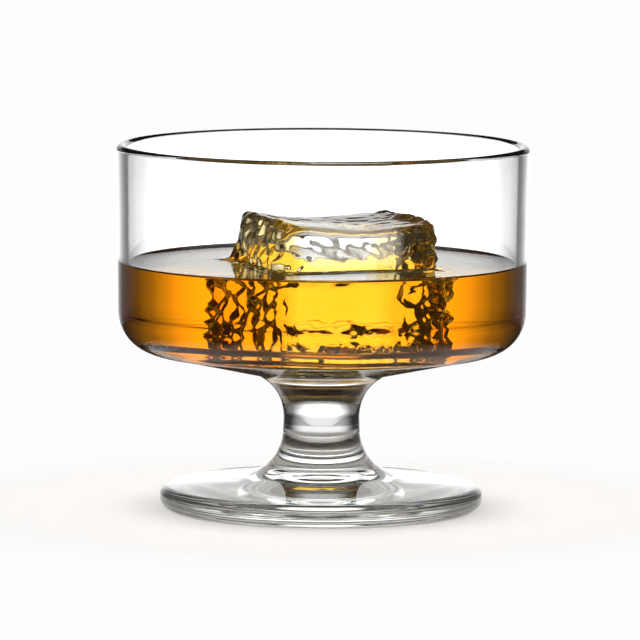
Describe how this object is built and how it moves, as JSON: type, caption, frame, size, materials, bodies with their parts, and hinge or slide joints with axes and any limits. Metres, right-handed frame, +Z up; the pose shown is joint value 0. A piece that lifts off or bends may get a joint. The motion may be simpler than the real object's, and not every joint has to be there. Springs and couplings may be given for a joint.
{
  "type": "mini coupe glass",
  "caption": "Small straight-sided coupe glass on a short flared stem and round foot, holding an amber drink that swirls and a clear ice cube that lifts out.",
  "frame": {"origin": "centre of the foot's underside, on the table", "axes": "+Z up along the stem, -Y towards the viewer of the picture, +X to that viewer's right"},
  "size_m": [0.084, 0.084, 0.0741],
  "materials": {
    "clear_glass": "polished",
    "amber_drink": "clear liquid",
    "clear_ice": "clear, wet"
  },
  "bodies": {
    "glass": {"foot": "clear_glass", "stem": "clear_glass", "bowl": "clear_glass"},
    "drink": {"drink": "amber_drink"},
    "ice": {"ice_cube": "clear_ice"}
  },
  "joints": [
    {"name": "drink_swirl", "type": "hinge", "parent": "glass", "child": "drink", "pos_m": [0, 0, 0.03], "axis": [0, 0, 1], "continuous": true},
    {"name": "ice_lift", "type": "slide", "parent": "drink", "child": "ice", "axis": [0, 0, 1], "range_m": [0, 0.05], "deforming": ["drink"]}
  ]
}
